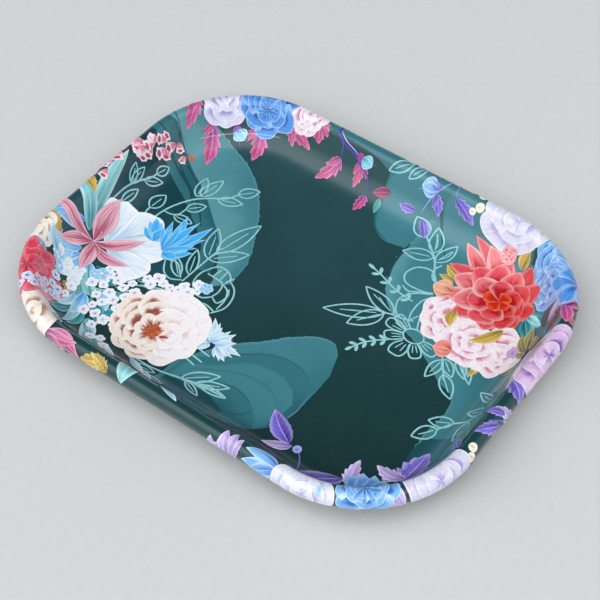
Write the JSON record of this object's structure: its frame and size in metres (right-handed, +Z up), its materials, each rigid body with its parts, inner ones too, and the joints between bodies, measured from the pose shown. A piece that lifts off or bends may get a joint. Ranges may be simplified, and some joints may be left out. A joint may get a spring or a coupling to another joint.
{
  "type": "painted serving tray",
  "caption": "Shallow rounded-rectangle pressed steel tray with a flared wall, its rolled rim closed over a wire loop, lacquered and painted with flowers.",
  "frame": {"origin": "centre of the underside of the flat floor, on the table the tray lies on", "axes": "+X along the tray's long side, +Y along its short side, +Z up out of the tray"},
  "size_m": [0.18, 0.142, 0.0161],
  "materials": {
    "painted_steel": "dark teal lacquer under a glossy clear varnish",
    "bare_steel": "drawn bare steel wire"
  },
  "bodies": {
    "root": {"tray_pan": "painted_steel", "rim_wire": "bare_steel"}
  },
  "joints": []
}
